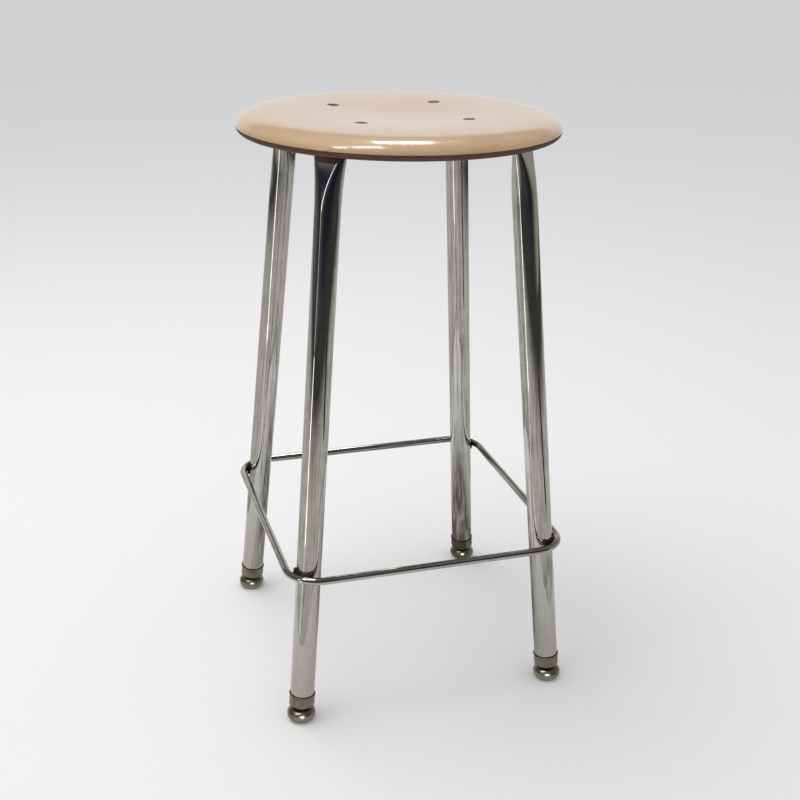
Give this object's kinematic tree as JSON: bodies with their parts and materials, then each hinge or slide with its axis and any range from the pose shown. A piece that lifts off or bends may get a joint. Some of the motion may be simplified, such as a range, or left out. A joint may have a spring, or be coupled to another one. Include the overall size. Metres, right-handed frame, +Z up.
{
  "type": "laboratory stool",
  "caption": "Backless stool with a round moulded seat on splayed chrome tube legs, tied by a bent rod footrest and standing on swivel glides.",
  "frame": {"origin": "on the floor, under the middle of the seat", "axes": "+Z up along the seat's axis, -Y is the front, +X is the sitter's left when facing -Y; each leg stands on a diagonal"},
  "size_m": [0.33, 0.33, 0.61],
  "materials": {
    "seat_shell": "glossy pale beige lacquer over a moulded shell",
    "seat_underside": "dark brown, low sheen",
    "bolt_heads": "darkened plating, worn bright on the crown",
    "plated_hardware": "zinc plated",
    "leg_chrome": "mirror chrome with fine scratches and light pitting",
    "footrest_chrome": "duller chrome, rubbed and scratched by shoes",
    "weld": "dark weld bead",
    "ferrule_nickel": "dull aged nickel",
    "glide_steel": "dark polished nickel, worn",
    "liner_nylon": "natural nylon"
  },
  "bodies": {
    "frame": {"seat_top": "seat_shell", "seat_backing": "seat_underside", "seat_bolts": "bolt_heads", "seat_washers": "plated_hardware", "seat_nuts": "plated_hardware", "leg_front_left": "leg_chrome", "leg_front_right": "leg_chrome", "leg_back_left": "leg_chrome", "leg_back_right": "leg_chrome", "footrest_ring": "footrest_chrome", "footrest_welds": "weld", "ferrule_front_left": "ferrule_nickel", "ferrule_front_right": "ferrule_nickel", "ferrule_back_left": "ferrule_nickel", "ferrule_back_right": "ferrule_nickel", "foot_plug_front_left": "plated_hardware", "foot_plug_front_right": "plated_hardware", "foot_plug_back_left": "plated_hardware", "foot_plug_back_right": "plated_hardware", "glide_stem_front_left": "plated_hardware", "glide_stem_front_right": "plated_hardware", "glide_stem_back_left": "plated_hardware", "glide_stem_back_right": "plated_hardware"},
    "liner_front_left": {"glide_liner_front_left": "liner_nylon"},
    "glide_front_left": {"glide_base_front_left": "glide_steel", "glide_sole_front_left": "glide_steel"},
    "liner_front_right": {"glide_liner_front_right": "liner_nylon"},
    "glide_front_right": {"glide_base_front_right": "glide_steel", "glide_sole_front_right": "glide_steel"},
    "liner_back_left": {"glide_liner_back_left": "liner_nylon"},
    "glide_back_left": {"glide_base_back_left": "glide_steel", "glide_sole_back_left": "glide_steel"},
    "liner_back_right": {"glide_liner_back_right": "liner_nylon"},
    "glide_back_right": {"glide_base_back_right": "glide_steel", "glide_sole_back_right": "glide_steel"}
  },
  "joints": [
    {"name": "tilt_front_left", "type": "hinge", "parent": "frame", "child": "liner_front_left", "pos_m": [-0.14105, -0.14105, 0.007], "axis": [0.7071, -0.7071, 0], "range_deg": [-8, 8]},
    {"name": "turn_front_left", "type": "hinge", "parent": "liner_front_left", "child": "glide_front_left", "pos_m": [-0.14105, -0.14105, 0.007], "axis": [0, 0, 1], "continuous": true},
    {"name": "tilt_front_right", "type": "hinge", "parent": "frame", "child": "liner_front_right", "pos_m": [0.14105, -0.14105, 0.007], "axis": [0.7071, 0.7071, 0], "range_deg": [-8, 8]},
    {"name": "turn_front_right", "type": "hinge", "parent": "liner_front_right", "child": "glide_front_right", "pos_m": [0.14105, -0.14105, 0.007], "axis": [0, 0, 1], "continuous": true},
    {"name": "tilt_back_left", "type": "hinge", "parent": "frame", "child": "liner_back_left", "pos_m": [-0.14105, 0.14105, 0.007], "axis": [-0.7071, -0.7071, 0], "range_deg": [-8, 8]},
    {"name": "turn_back_left", "type": "hinge", "parent": "liner_back_left", "child": "glide_back_left", "pos_m": [-0.14105, 0.14105, 0.007], "axis": [0, 0, 1], "continuous": true},
    {"name": "tilt_back_right", "type": "hinge", "parent": "frame", "child": "liner_back_right", "pos_m": [0.14105, 0.14105, 0.007], "axis": [-0.7071, 0.7071, 0], "range_deg": [-8, 8]},
    {"name": "turn_back_right", "type": "hinge", "parent": "liner_back_right", "child": "glide_back_right", "pos_m": [0.14105, 0.14105, 0.007], "axis": [0, 0, 1], "continuous": true}
  ]
}
